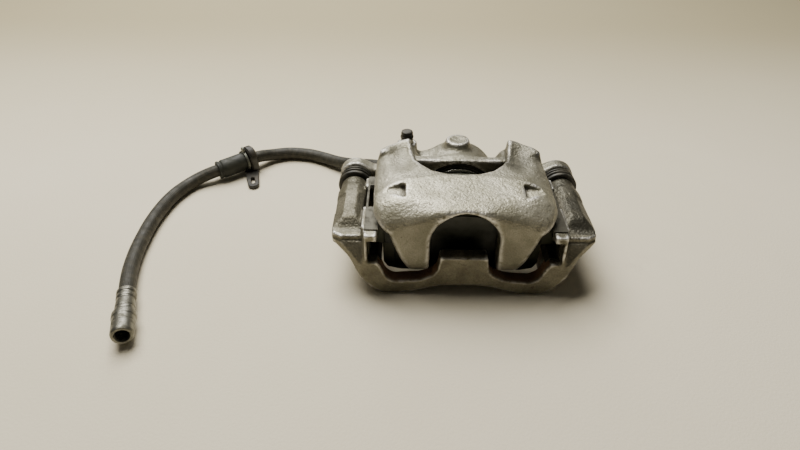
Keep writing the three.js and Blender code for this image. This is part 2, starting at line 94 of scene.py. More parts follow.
camera_data = bpy.data.cameras.new("camera")
camera_data.lens = 25.2
camera_data.clip_start = 0.01
camera = added("camera", camera_data)
camera.matrix_world = placed(to_right, to_top, -ahead, eye)
bpy.context.scene.camera = camera

# %% [markdown]
# ## From arrays to meshes
# Most pieces are a grid of points: rows follow the piece's length and columns go round it. Each square of
# the grid is one face, and a grid that meets itself is wrapped. Points that fall together, such as those at a pole,
# are merged, and the faces are turned to point outwards.


# %% Mesh helpers
def grid_faces(rows, cols, wrap_rows=False):
    """Square k joins point (i, j) to its neighbours; columns always wrap round, rows only where asked."""
    i = np.arange(rows if wrap_rows else rows - 1)[:, None]
    j = np.arange(cols)[None, :]
    below, beside = (i + 1) % rows, (j + 1) % cols
    corners = [i * cols + j, i * cols + beside, below * cols + beside, below * cols + j]
    return np.stack([np.broadcast_to(c, (len(i), cols)) for c in corners], -1).reshape(-1, 4)


def piece(name, points, faces, finish, body, stands_for=(), slot=None, sharp=38, uv=None, turn_out=True):
    """Makes one mesh object from drawing millimetres, smooth but for edges sharper than `sharp` degrees."""
    mesh = bpy.data.meshes.new(name)
    mesh.from_pydata(to_row(points).tolist(), [], [list(map(int, f)) for f in faces])
    if uv is not None:
        layer = mesh.uv_layers.new(name="along")
        corner = np.zeros(len(mesh.loops), np.int32)
        mesh.loops.foreach_get("vertex_index", corner)
        spread = np.asarray(uv, np.float32)[corner].reshape(-1, 4, 2)
        seam = np.ptp(spread[:, :, 0], axis=1, keepdims=True) > 0.5
        spread[:, :, 0] += seam & (spread[:, :, 0] < 0.5)
        layer.data.foreach_set("uv", spread.ravel())
    shape = bmesh.new()
    shape.from_mesh(mesh)
    if turn_out:
        bmesh.ops.remove_doubles(shape, verts=shape.verts, dist=2e-6)
        bmesh.ops.recalc_face_normals(shape, faces=shape.faces)
    shape.to_mesh(mesh)
    shape.free()
    mesh.shade_smooth()
    mesh.set_sharp_from_angle(angle=math.radians(sharp))
    mesh.materials.append(finish)
    made = added(name, mesh)
    if body:
        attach(made, body)
    if stands_for:
        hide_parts(*stands_for)
    return made


def eased(corners, radius, steps=4, closed=False):
    """Each corner of a line is replaced by a short curve: the mix (1-t)^2 A + 2t(1-t) B + t^2 C of the points
    A and C, up to `radius` back along its two edges, and the corner B itself."""
    corners = np.asarray(corners, float)
    radius = np.broadcast_to(np.asarray(radius, float), (len(corners),))
    before, after = np.roll(corners, 1, 0), np.roll(corners, -1, 0)

    def back(towards):
        step = towards - corners
        size = np.linalg.norm(step[:, :2], axis=1)
        share = np.minimum(radius / np.maximum(size, 1e-9), 0.46)
        return corners + step * share[:, None]

    t = np.linspace(0, 1, steps + 1)[None, :, None]
    a, c = back(before)[:, None], back(after)[:, None]
    curve = (1 - t) ** 2 * a + 2 * t * (1 - t) * corners[:, None] + t**2 * c
    if closed:
        return curve.reshape(-1, corners.shape[1])
    return np.vstack([corners[:1], curve[1:-1].reshape(-1, corners.shape[1]), corners[-1:]])


def mirrored(half):
    """A half outline that starts and ends on x = 0, closed with its mirror image."""
    half = np.asarray(half, float)
    return np.vstack([half, (half[np.abs(half[:, 0]) > 1e-9] * (-1, 1))[::-1]])


def arc(cx, cy, radius, a0, a1, steps):
    """Points (cx + r cos a, cy + r sin a) for a from a0 to a1 degrees."""
    a = np.radians(np.linspace(a0, a1, steps + 1))
    return np.c_[cx + radius * np.cos(a), cy + radius * np.sin(a)]


# %% [markdown]
# ## Turned pieces
# A pin, a boot or a crimped ferrule comes off a lathe or out of a round mould, so it is one profile carried round a
# line. The profile is (radius, distance) corners with an optional third number: how hexagonal the ring is there.


# %% Turned pieces
def frame_of(way):
    """Two unit vectors square to `way` and to each other."""
    way = np.asarray(way, float) / np.linalg.norm(way)
    helper = np.array([0.0, 0, 1]) if abs(way[2]) < 0.9 else np.array([1.0, 0, 0])
    side = np.cross(helper, way)
    side /= np.linalg.norm(side)
    return way, side, np.cross(way, side)


def turns(count):
    """Equal angles round a full turn."""
    return np.linspace(0, 2 * math.pi, count, endpoint=False)


def turned(name, profile, start, way, finish, body, soft=0.35, around=72, ring=False, **rest):
    """Point = start + d * way + r * h(a) * (cos a * side + sin a * over), where the hexagon factor h is
    cos 30 / cos(a mod 60 - 30) where the third number is 1, and 1 where it is 0."""
    profile = np.asarray(profile, float)
    if profile.shape[1] == 2:
        profile = np.c_[profile, np.zeros(len(profile))]
    profile = eased(profile, soft, closed=ring)
    way, side, over = frame_of(way)
    a = turns(around)
    hexagon = math.cos(math.pi / 6) / np.cos(np.mod(a, math.pi / 3) - math.pi / 6)
    r = profile[:, :1] * (1 + profile[:, 2:3] * (hexagon - 1))
    around_line = np.cos(a)[:, None] * side + np.sin(a)[:, None] * over
    points = np.asarray(start, float) + profile[:, 1][:, None, None] * way + r[..., None] * around_line
    faces = grid_faces(len(profile), around, ring)
    return piece(name, points.reshape(-1, 3), faces, finish, body, **rest)


# %% [markdown]
# ## Plates
# Backing plates and shims are stamped from sheet, so each is a flat outline given a thickness and a slightly broken
# edge. The outline is drawn inwards a little at both faces, along the mean of the two edge normals at each corner.


# %% Plates
def drawn_in(outline, by):
    """Every corner moves along its mitre, by `by` measured square to the edges."""
    edge = np.roll(outline, -1, 0) - outline
    normal = np.c_[edge[:, 1], -edge[:, 0]] / np.maximum(np.linalg.norm(edge, axis=1), 1e-9)[:, None]
    mitre = normal + np.roll(normal, 1, 0)
    mitre /= np.maximum((mitre * normal).sum(1), 0.35)[:, None]
    area = np.sum(outline[:, 0] * np.roll(outline[:, 1], -1) - outline[:, 1] * np.roll(outline[:, 0], -1))
    return outline - np.sign(area) * by * mitre


def facing_y(across, up, depth):
    """Columns of x, y and z for a plate that faces along Y."""
    return np.c_[across, depth, up]


def ringed(rings, place):
    """Rings of (across, up) points, each at one depth, put in their place and stacked."""
    return np.vstack([place(*ring.T, np.full(len(ring), depth)) for ring, depth in rings])


def plate(name, outline, near, far, finish, body, edge, **rest):
    """Rings of the outline at depths near, near+edge, far-edge and far; the outer two are drawn in by `edge`."""
    outline = np.asarray(outline, float)
    tight = drawn_in(outline, edge)
    points = ringed([(tight, near), (outline, near + edge), (outline, far - edge), (tight, far)], facing_y)
    n = len(outline)
    faces = grid_faces(4, n).tolist() + [list(range(n))[::-1], list(range(3 * n, 4 * n))]
    return piece(name, points, faces, finish, body, **rest)


# %% [markdown]
# ## Castings
# The bracket and housing are sand castings: every edge is rounded and every inside corner has a fillet. Such
# a shape can't be drawn as one grid of two parameters, so it is made another way, as a distance field. Each feature
# is the distance to its surface at every point of a lattice, negative inside. Two features are joined or
# trimmed with a rounded minimum or maximum, which makes the fillet, and the surface where the distance is zero
# becomes the mesh.


# %% Rounded joins and trims
def joined(r, *fields):
    """Rounded union: where both distances are under r, the surface is a fillet of radius r."""
    total = fields[0]
    for field in fields[1:]:
        u, v = np.maximum(r - total, 0), np.maximum(r - field, 0)
        total = np.maximum(r, np.minimum(total, field)) - np.hypot(u, v)
    return total


def common(r, *fields):
    """Rounded overlap: outside corners get the radius r. It is the union of what lies outside, turned round."""
    return -joined(r, *[-field for field in fields])


def trimmed(r, body, tool):
    """The body without the tool, with its new edges rounded to r."""
    return common(r, body, -tool)


def outline_field(corners, a, b):
    """Distance from (a, b) to the nearest edge of a closed outline, negative where a ray crosses it oddly."""
    corners = np.asarray(corners, float)
    shape = np.broadcast_shapes(a.shape, b.shape)
    nearest, inside = np.full(shape, 1e9), np.zeros(shape, bool)
    for (a0, b0), (a1, b1) in zip(corners, np.roll(corners, -1, 0)):
        ea, eb = a1 - a0, b1 - b0
        t = np.clip(((a - a0) * ea + (b - b0) * eb) / (ea * ea + eb * eb + 1e-12), 0, 1)
        nearest = np.minimum(nearest, np.hypot(a - a0 - t * ea, b - b0 - t * eb))
        if b0 != b1:
            inside ^= ((b0 > b) != (b1 > b)) & (a < ea * (b - b0) / eb + a0)
    return np.where(inside, -nearest, nearest)


def between(v, low, high):
    """Distance to a slab from low to high."""
    return np.abs(v - (low + high) / 2) - (high - low) / 2


def rod(p, q, r, along, low, high, soft):
    """Round bar: the distance in its cross-section, p and q from its axis, trimmed to a length."""
    return common(soft, np.hypot(p, q) - r, between(along, low, high))


# %% [markdown]
# The zero surface is found with surface nets. Each lattice cell that it passes through gets one point, the mean of
# the places where it crosses the cell's edges, and each crossed lattice edge gets one square between the four
# cells around it. It is all array work, and takes a few seconds for each casting.


# %% Surface nets
def lattice(low, high, step):
    """Open x, y and z arrays that cover a box."""
    axes = [np.arange(a, b + step, step) for a, b in zip(low, high)]
    return axes[0][:, None, None], axes[1][None, :, None], axes[2][None, None, :]


def skin(field, low, step):
    """Points and squares of the surface where the field is zero."""
    cells = np.array(field.shape) - 1
    total, count = np.zeros((*cells, 3), np.float32), np.zeros(cells, np.float32)
    crossings = []
    for axis in range(3):
        near, far = (field.take(range(k, cells[axis] + k), axis) for k in (0, 1))
        crossed = (near < 0) != (far < 0)
        share = np.where(crossed, near / np.where(crossed, near - far, 1), 0)
        crossings.append((crossed, near < 0))
        u, v = [k for k in range(3) if k != axis]
        for du in (0, 1):
            for dv in (0, 1):
                cut = [slice(None)] * 3
                cut[u], cut[v] = slice(du, du + cells[u]), slice(dv, dv + cells[v])
                here = crossed[tuple(cut)]
                count += here
                total[..., axis] += share[tuple(cut)]
                total[..., u] += du * here
                total[..., v] += dv * here
    used = count > 0
    number = np.full(cells, -1)
    number[used] = np.arange(used.sum())
    points = np.argwhere(used) + total[used] / count[used][:, None]
    faces = []
    for axis, (crossed, inward) in enumerate(crossings):
        u, v = [k for k in range(3) if k != axis]
        inner = [slice(None)] * 3
        inner[u], inner[v] = slice(1, cells[u]), slice(1, cells[v])
        at = np.argwhere(crossed[tuple(inner)])
        su, sv = np.eye(3, dtype=int)[[u, v]]
        at += su + sv
        quad = np.stack([number[tuple((at - a * su - b * sv).T)] for a, b in ((0, 0), (1, 0), (1, 1), (0, 1))], 1)
        flip = inward[tuple(at.T)] != (axis == 1)
        faces.append(np.where(flip[:, None], quad, quad[:, ::-1]))
    return np.asarray(low, float) + points * step, np.vstack(faces)


def neighbour_mean(values, faces, count):
    """Mean of the values at the points that share an edge with each point."""
    edges = np.vstack([faces[:, [k, (k + 1) % 4]] for k in range(4)])
    weight = np.bincount(edges[:, 0], minlength=count) + 1e-9
    columns = [np.bincount(edges[:, 0], values[edges[:, 1], k], count) / weight for k in range(values.shape[1])]
    return np.stack(columns, 1)


def read(made, what):
    """The "co" or "normal" of every point of a piece."""
    flat = np.zeros(len(made.data.vertices) * 3)
    made.data.vertices.foreach_get(what, flat)
    return flat.reshape(-1, 3)


def store(made, name, values, low=0):
    """Writes a number from `low` to 1 at every point, as a named attribute."""
    layer = made.data.attributes.new(name, "FLOAT", "POINT")
    layer.data.foreach_set("value", np.clip(values, low, 1).astype(np.float32))


FULL_CREST = 0.35


def casting(name, field, low, high, step, finish, body, stands_for, slot):
    """Meshes a field, evens it once, and stores how far each point stands out of its surroundings as `crest`:
    the distance from the point to its neighbours' mean, along the normal, spread over a few millimetres."""
    points, faces = skin(field(*lattice(low, high, step)), low, step)
    points = 0.5 * points + 0.5 * neighbour_mean(points, faces, len(points))
    points[:, 2] = np.maximum(points[:, 2], 0)
    wide = points
    for _ in range(3):
        wide = neighbour_mean(wide, faces, len(points))
    made = piece(name, points, faces, finish, body, stands_for, slot, sharp=180, turn_out=False)
    crest = ((points - wide) * read(made, "normal")).sum(1, keepdims=True)
    for _ in range(4):
        crest = neighbour_mean(crest, faces, len(points))
    store(made, "crest", crest.ravel() / FULL_CREST, low=-1)
    print(name, len(faces) * 2, "triangles")
    return made


# %% [markdown]
# ## Finishes
# Every finish is a small tree of nodes that reads Object coordinates, in metres, so grain keeps its real size: a
# noise scale of 900 gives lumps of about a millimetre. Cast iron that has been painted silver shows sand grain,
# painted shade in its hollows and wear with a painted highlight where edges stand out, so its tree also reads the
# `crest` numbers above and three more that are stored later: `bare` for rust, one for painted light on what faces
# up and one for soot and painted shade.


# %% Node helpers
class Finish:
    """A material under construction: node() adds a node and links or sets its inputs by name."""

    def __init__(self, name):
        self.material = bpy.data.materials.new(name)
        self.material.use_nodes = True
        self.nodes, self.links = self.material.node_tree.nodes, self.material.node_tree.links
        self.shader = self.nodes["Principled BSDF"]
        self.place = self.nodes.new("ShaderNodeTexCoord").outputs["Object"]

    def node(self, kind, inputs=(), **settings):
        made = self.nodes.new("ShaderNode" + kind)
        for key, value in settings.items():
            setattr(made, key, value)
        for key, value in dict(inputs).items():
            self.plug(made.inputs[key], value)
        return made

    def plug(self, socket, value):
        """Links an output to a socket, or sets the socket's number, vector or colour."""
        if hasattr(value, "is_output"):
            self.links.new(value, socket)
        else:
            socket.default_value = (*value, 1) if socket.type == "RGBA" else value

    def noise(self, scale, detail=4, rough=0.55, place=None, distort=0.0):
        vector = self.place if place is None else place
        settings = {"Vector": vector, "Scale": scale, "Detail": detail, "Roughness": rough, "Distortion": distort}
        return self.node("TexNoise", settings).outputs["Fac"]

    def span(self, value, low, high, out_low=0.0, out_high=1.0):
        inputs = {"Value": value, "From Min": low, "From Max": high, "To Min": out_low, "To Max": out_high}
        return self.node("MapRange", inputs, interpolation_type="SMOOTHSTEP").outputs["Result"]

    def times(self, a, b, what="MULTIPLY"):
        return self.node("Math", {0: a, 1: b}, operation=what).outputs[0]

    def plus(self, a, b):
        return self.times(a, b, "ADD")

    def stretched(self, place, scale):
        return self.node("Mapping", {"Vector": place, "Scale": scale}).outputs["Vector"]

    def mix(self, share, a, b):
        made = self.node("Mix", data_type="RGBA")
        for at, value in ((0, share), (6, a), (7, b)):
            self.plug(made.inputs[at], value)
        return made.outputs[2]

    def bump(self, height, depth, under=None):
        """Bump of `depth` metres for a height that runs from 0 to 1."""
        inputs = {"Height": height, "Distance": depth, "Strength": 1.0}
        if under is not None:
            inputs["Normal"] = under
        return self.node("Bump", inputs).outputs["Normal"]

    def done(self, **sockets):
        for key, value in sockets.items():
            self.plug(self.shader.inputs[key.replace("_", " ")], value)
        return self.material


# %% Silver casting
def silver_casting(name, light, dark, rust_amount):
    """Base colour: light paint, made lighter by painted light where its stored mask says so, darkened by two sizes of
    noise and by painted shade in the hollows, lightened on crests by wear and a painted highlight, then darkened by
    soot and painted shade where their stored mask says so, and rust where `bare` says that the paint ends."""
    f = Finish(name)
    crest, bare, painted_light, soot_and_shade = (
        f.node("Attribute", attribute_name=stored).outputs["Fac"] for stored in ("crest", "bare", "painted_light", "soot_and_shade")
    )
    cloud, blotch, grain = f.noise(38, 5, 0.6), f.noise(150, 5, 0.65, distort=0.6), f.noise(1150, 3, 0.6)
    pit = f.node("TexVoronoi", {"Vector": f.place, "Scale": 520.0, "Randomness": 1.0}).outputs["Distance"]
    # Painted light: where the stored mask is high, both paint tones are made up to about 2.3 times lighter, as a lamp
    # would light them.
    lit_paint = f.mix(painted_light, light, tuple(min(0.9, 2.35 * c) for c in light))
    paint = f.mix(f.span(cloud, 0.36, 0.66), f.mix(painted_light, dark, tuple(2.3 * c for c in dark)), lit_paint)
    paint = f.mix(f.span(blotch, 0.52, 0.74, 0, 0.55), paint, tuple(0.72 * c for c in dark))
    paint = f.mix(f.span(grain, 0.35, 0.7, 0.35, 0), paint, tuple(0.6 * c for c in dark))
    # Painted shade: hollows, where crest falls below zero, are darkened towards near black.
    shaded_hollows = f.mix(f.span(crest, -0.05, -0.6, 0, 0.8), paint, (0.045, 0.04, 0.028))
    # Wear and a painted highlight: raised crests, in noisy patches, are lightened towards pale metal.
    wear_and_highlight = f.times(f.span(crest, 0.17, 0.66), f.span(f.noise(260, 4), 0.28, 0.56))
    worn_and_highlit = f.mix(wear_and_highlight, shaded_hollows, (0.74, 0.72, 0.67))
    specks = f.times(f.span(f.noise(210, 3, 0.5), 0.7, 0.76), 0.75)
    flecked = f.mix(specks, worn_and_highlit, (0.07, 0.05, 0.035))
    rust_shade = f.mix(f.noise(300, 5, 0.7), (0.105, 0.045, 0.02), (0.24, 0.135, 0.075))
    rusty = f.times(bare, f.span(f.noise(90, 5, 0.7), 0.25, 0.5, 0.55, rust_amount))
    # Soot and painted shade: the stored mask, broken up by noise, darkens the colour towards near black.
    soot_and_shade_mix = f.times(soot_and_shade, f.span(f.noise(70, 5, 0.65), 0.3, 0.62, 0.35, 1.0))
    colour = f.mix(rusty, f.mix(soot_and_shade_mix, flecked, (0.055, 0.052, 0.038)), rust_shade)
    metal = f.times(f.times(1.0, rusty, "SUBTRACT"), f.span(crest, -0.5, 0.6, 0.35, 0.75))
    rough = f.span(grain, 0.3, 0.7, 0.5, 0.36)
    rough = f.plus(rough, f.times(rusty, 0.3))
    height = f.plus(f.times(grain, 0.6), f.times(f.span(pit, 0.0, 0.55), 0.4))
    lumps = f.bump(f.noise(330, 4, 0.6), 0.0007)
    return f.done(Base_Color=colour, Metallic=metal, Roughness=rough, Normal=f.bump(height, 0.0003, lumps))


housing_paint = silver_casting("silver_casting", (0.31, 0.295, 0.235), (0.18, 0.17, 0.125), 0.6)
bracket_paint = silver_casting("bracket_casting", (0.24, 0.222, 0.165), (0.12, 0.11, 0.075), 1.0)


# %% Rubber, plastic and paint that is nearly black
def black_finish(name, deep, dust, rough, dust_share, grain=700, depth=0.00012):
    """Deep colour under patches of dust, with a fine bump; dust lies thicker on what faces up."""
    f = Finish(name)
    up = f.node("SeparateXYZ", {0: f.node("NewGeometry").outputs["Normal"]}).outputs["Z"]
    patches = f.span(f.noise(120, 5, 0.65), 0.38, 0.68)
    settled = f.times(f.span(up, -0.2, 0.9, 0.35, 1.0), patches)
    colour = f.mix(f.times(settled, dust_share), deep, dust)
    roughness = f.span(f.noise(240, 4), 0.3, 0.7, rough - 0.08, rough + 0.14)
    normal = f.bump(f.noise(grain, 3), depth)
    return f.done(Base_Color=colour, Roughness=roughness, Normal=normal)


boot_rubber = black_finish("black_rubber", (0.016, 0.015, 0.011), (0.15, 0.135, 0.10), 0.5, 0.55)
cap_rubber = black_finish("cap_rubber", (0.02, 0.018, 0.012), (0.16, 0.14, 0.10), 0.55, 0.6)
pad_paint = black_finish("black_plate", (0.045, 0.048, 0.03), (0.12, 0.115, 0.078), 0.5, 0.6, 420, 0.0002)
clip_paint = black_finish("bracket_paint", (0.012, 0.011, 0.007), (0.07, 0.056, 0.036), 0.5, 0.5, 500, 0.00015)
sleeve_rubber = black_finish("sleeve_rubber", (0.01, 0.012, 0.008), (0.05, 0.052, 0.036), 0.6, 0.6)


# %% Hose rubber
def hose_rubber():
    """Extruded rubber: fine lines run along it, dust sits in long scuffs, and the skin is satin."""
    f = Finish("hose_rubber")
    uv = f.node("UVMap", uv_map="along").outputs["UV"]
    along = f.stretched(uv, (1.0, 60.0, 1.0))
    lines = f.noise(10, 2, place=f.stretched(uv, (6.0, 3.0, 1.0)))
    scuffs = f.span(f.noise(4, 5, 0.7, place=along), 0.42, 0.7)
    colour = f.mix(f.times(scuffs, 0.5), (0.017, 0.0155, 0.008), (0.08, 0.07, 0.044))
    rough = f.span(f.noise(180, 4), 0.3, 0.7, 0.52, 0.7)
    normal = f.bump(lines, 0.00025, f.bump(f.noise(900, 3), 0.00008))
    return f.done(Base_Color=colour, Roughness=rough, Normal=normal)


hose_skin = hose_rubber()


# %% Bare and plated metals
def plated(name, colour, shade, rough, stain=0.5, metal=1.0, tool_marks=0.0, axis=(0, 1, 0)):
    """Plated or bright metal: dull stains change both colour and gloss, and tool marks are bands along an axis."""
    f = Finish(name)
    stains = f.span(f.noise(170, 5, 0.7), 0.4, 0.72)
    tone = f.mix(f.times(stains, stain), colour, shade)
    roughness = f.span(stains, 0, 1, rough, rough + 0.22)
    normal = f.bump(f.noise(1500, 2), 0.00005)
    if tool_marks:
        stretch = tuple(1.0 if a else 0.02 for a in axis)
        marks = f.noise(2600, 2, place=f.stretched(f.place, stretch))
        normal = f.bump(marks, tool_marks, normal)
    return f.done(Base_Color=tone, Metallic=metal, Roughness=roughness, Normal=normal)


zinc = plated("zinc_steel", (0.46, 0.44, 0.39), (0.14, 0.125, 0.095), 0.32, 0.7, 0.9)
turned_zinc = plated("turned_steel", (0.215, 0.21, 0.18), (0.07, 0.066, 0.048), 0.38, 0.8, 0.9, 0.00006)
dull_spring = plated("dull_spring", (0.17, 0.175, 0.15), (0.05, 0.05, 0.038), 0.5, 0.7, 0.8)
stainless = plated("stainless_strip", (0.085, 0.08, 0.06), (0.028, 0.025, 0.018), 0.45, 0.75, 0.6, 0.00003, (1, 0, 0))
chrome = plated("plated_piston", (0.62, 0.61, 0.58), (0.3, 0.28, 0.22), 0.14, 0.3)
copper = plated("copper", (0.72, 0.36, 0.2), (0.25, 0.12, 0.06), 0.35, 0.6)


# %% Friction lining and coated shim
def friction_lining():
    """Pressed grey compound with brass and dark flecks about a millimetre across."""
    f = Finish("lining")
    cells = f.node("TexVoronoi", {"Vector": f.place, "Scale": 900.0}).outputs["Color"]
    tint = f.node("SeparateColor", {"Color": cells}).outputs["Red"]
    body = f.mix(f.noise(200, 4), (0.07, 0.064, 0.055), (0.15, 0.135, 0.115))
    colour = f.mix(f.span(tint, 0.86, 0.9), body, (0.42, 0.31, 0.14))
    return f.done(Base_Color=colour, Roughness=0.85, Normal=f.bump(f.noise(800, 4), 0.0003))


lining = friction_lining()
shim_coat = black_finish("shim_coat", (0.012, 0.014, 0.009), (0.04, 0.045, 0.028), 0.45, 0.7, 300, 0.0001)

# %% [markdown]
# ## The hose
# A brake hose is stiff: it leaves its fitting straight, drops to the ground and lies there in one long curve. Its
# centreline is a smooth curve through the route's points, the same ones that the CAD model uses, and the rubber is
# a circle carried along it. Beads and collars are the same circle with a radius that changes with distance.

# %% Hose centreline
ROUTE = [
    (-54.3, 127.8, 20), (-59, 131, 19.6), (-66, 136, 17.6), (-74, 142.6, 14.2), (-83, 149.8, 10.4), (-92, 156.6, 7.6),
    (-101, 162.6, 6.1), (-110.5, 168.8, 5.4), (-124.7, 175.2, 5.2), (-143.2, 177.2, 5.3), (-158, 172, 6.3),
    (-166.3, 165, 8.8), (-174.5, 157.2, 9.9), (-182.4, 150.4, 9.9), (-191.2, 143.4, 9.4), (-200, 137.4, 8.8),
    (-208.3, 132.4, 7.2), (-214.8, 126.8, 5.7), (-219.9, 118.6, 5.2), (-224.1, 108.4, 5.2), (-227.2, 95.6, 5.2),
    (-229, 78.7, 5.2), (-229.3, 64.7, 5.2), (-228.4, 48.1, 5.2), (-227.1, 34.6, 5.3), (-224.8, 21.6, 5.7),
    (-222.2, 10.6, 6.3), (-219.1, 0.2, 6.8), (-215.6, -9.9, 7.3),
]


def smooth_line(knots, fine):
    """Centripetal Catmull-Rom: between two knots, three linear mixes of the four nearest knots, then two mixes
    of those, then one, with times that step by the square root of the distance between knots."""
    knots = np.asarray(knots, float)
    p = np.vstack([2 * knots[0] - knots[1], knots, 2 * knots[-1] - knots[-2]])
    t = np.concatenate([[0], np.cumsum(np.sqrt(np.linalg.norm(np.diff(p, axis=0), axis=1)))])
    i = np.arange(1, len(p) - 2)
    now = t[i][:, None] + np.linspace(0, 1, fine, endpoint=False) * (t[i + 1] - t[i])[:, None]

    def mix(a, b, ta, tb):
        wa, wb = (tb[:, None] - now)[..., None], (now - ta[:, None])[..., None]
        return (wa * a + wb * b) / (tb - ta)[:, None, None]

    flat = [p[i + k][:, None] for k in (-1, 0, 1, 2)]
    one = [mix(flat[k], flat[k + 1], t[i + k - 1], t[i + k]) for k in range(3)]
    two = [mix(one[k], one[k + 1], t[i + k - 1], t[i + k + 1]) for k in range(2)]
    return np.vstack([mix(two[0], two[1], t[i], t[i + 1]).reshape(-1, 3), knots[-1:]])


def walked(line):
    """Distance walked along a line of points."""
    return np.concatenate([[0], np.cumsum(np.linalg.norm(np.diff(line, axis=0), axis=1))])


fine_line = smooth_line(ROUTE, 40)
HOSE_LENGTH = walked(fine_line)[-1]
HOSE_DIAMETER = 10.3
print("hose length", round(HOSE_LENGTH, 1), "mm")


def on_hose(distance):
    """Points on the centreline at these distances, and the unit directions there."""
    reach = walked(fine_line)

    def at(d):
        return np.stack([np.interp(d, reach, fine_line[:, k]) for k in range(3)], -1)

    way = at(distance + 0.5) - at(distance - 0.5)
    return at(distance), way / np.linalg.norm(way, axis=-1, keepdims=True)


# %% Pieces carried along the hose
def carried(name, profile, finish, around=40, ring=False, soft=0.3, dense=1.5, **rest):
    """Profile (radius, distance along the hose) carried round the centreline: point = line(d) + r (cos a * side +
    sin a * over), with side level and over upright, so that nothing twists."""
    profile = eased(np.asarray(profile, float), soft, closed=ring)
    if ring:
        profile = np.vstack([profile, profile[:1]])
    pieces = [profile[:1]]
    for a, b in zip(profile[:-1], profile[1:]):
        n = max(1, int(abs(b[1] - a[1]) / dense))
        pieces.append(a + (b - a) * np.linspace(0, 1, n + 1)[1:, None])
    profile = np.vstack(pieces)[: -1 if ring else None]
    line, way = on_hose(profile[:, 1])
    side = np.cross((0, 0, 1.0), way)
    side /= np.linalg.norm(side, axis=1, keepdims=True)
    upright = np.cross(way, side)
    a = turns(around)
    spread = np.cos(a)[None, :, None] * side[:, None] + np.sin(a)[None, :, None] * upright[:, None]
    points = line[:, None] + profile[:, :1, None] * spread
    uv = np.stack(np.broadcast_arrays((a / (2 * math.pi))[None, :], profile[:, 1:] / 1000), -1).reshape(-1, 2)
    return piece(name, points.reshape(-1, 3), grid_faces(len(profile), around, ring), finish, "housing", uv=uv, **rest)


hose = carried(
    "hose_rubber_tube",
    [(0, 0), (HOSE_DIAMETER / 2, 0), (HOSE_DIAMETER / 2, HOSE_LENGTH), (0, HOSE_LENGTH)],
    hose_skin, stands_for=["brake_hose"], slot="hose_rubber",
)

plate_at, sleeve_start, ring_start, ring_end, sleeve_end = (
    share * HOSE_LENGTH for share in (0.428, 0.4395, 0.441, 0.4465, 0.517)
)
grommet = carried(
    "hose_sleeve",
    [(5.5, sleeve_start), (7.8, sleeve_start), (7.8, sleeve_end - 4.2), (7.0, sleeve_end - 3.4),
     (7.0, sleeve_end - 2.4), (7.7, sleeve_end - 1.8), (7.6, sleeve_end), (5.5, sleeve_end)],
    sleeve_rubber, ring=True, soft=0.7, stands_for=["hose_grommet"], slot="black_rubber",
)

# %% [markdown]
# The hose is held to the car by a bracket: an upright plate round the hose, folded into a slotted foot, and a bright
# spring ring that grips the rubber sleeve beside it. The plate is drawn in its own upright plane, across and up, and
# the foot lies on the ground.

# %% Hose bracket and spring ring
hub, hub_way = (v[0] for v in on_hose(np.array([plate_at])))
hub_foot = np.array([hub[0], hub[1], 0])
flat_way = np.array([hub_way[0], hub_way[1], 0]) / np.hypot(hub_way[0], hub_way[1])
aside = np.cross((0, 0, 1.0), flat_way)


def holed_plate(name, outline, hole, near, far, place, finish, edge=0.4, **rest):
    """Four rings each for the outline and the hole, joined across both faces."""
    levels = [(near, edge), (near + edge, 0), (far - edge, 0), (far, edge)]
    rings = [(drawn_in(outline, inset), depth) for depth, inset in levels]
    rings += [(drawn_in(hole, -inset), depth) for depth, inset in levels[::-1]]
    return piece(name, ringed(rings, place), grid_faces(8, len(outline), True), finish, "housing", **rest)


def resampled(outline, count, centre):
    """The same closed outline as `count` points, equal in angle seen from a point inside it."""
    c = np.asarray(centre, float)
    share = np.linspace(0, 1, 40, endpoint=False)[:, None]
    dense = np.vstack([a + (b - a) * share for a, b in zip(outline, np.roll(outline, -1, 0))])
    angle = np.arctan2(dense[:, 1] - c[1], dense[:, 0] - c[0])
    order = np.argsort(angle)
    radius = np.hypot(dense[:, 0] - c[0], dense[:, 1] - c[1])[order]
    want = np.linspace(-math.pi, math.pi, count, endpoint=False)
    r = np.interp(want, angle[order], radius, period=2 * math.pi)
    return c + np.c_[r * np.cos(want), r * np.sin(want)]


def upright_place(across, up, depth):
    """Across the hose, up, and along it."""
    return hub_foot + np.outer(across, aside) + np.outer(depth, flat_way) + np.outer(up, (0, 0, 1))


plate_outline = np.vstack([arc(0, 12.5, 9.5, 0, 180, 16), [(-9.5, 0.2), (9.5, 0.2)]])
plate_outline = resampled(eased(plate_outline, 1.5, closed=True), 72, (0, hub[2]))
hole_outline = resampled(arc(0, hub[2], 5.75, 0, 360, 48)[:-1], 72, (0, hub[2]))
upright_plate = holed_plate(
    "hose_bracket_plate", plate_outline, hole_outline, -3.5, 3.5, upright_place, clip_paint, edge=1.2,
    stands_for=["hose_bracket"], slot="black_plate",
)

FOOT_TURN = math.radians(-74)
foot_way = np.array([math.cos(FOOT_TURN), math.sin(FOOT_TURN), 0])
foot_side = np.array([-math.sin(FOOT_TURN), math.cos(FOOT_TURN), 0])


def lying_place(across, up, depth):
    """Along the foot, across it, and up."""
    return hub_foot + np.outer(across, foot_way) + np.outer(up, foot_side) + np.outer(depth, (0, 0, 1))


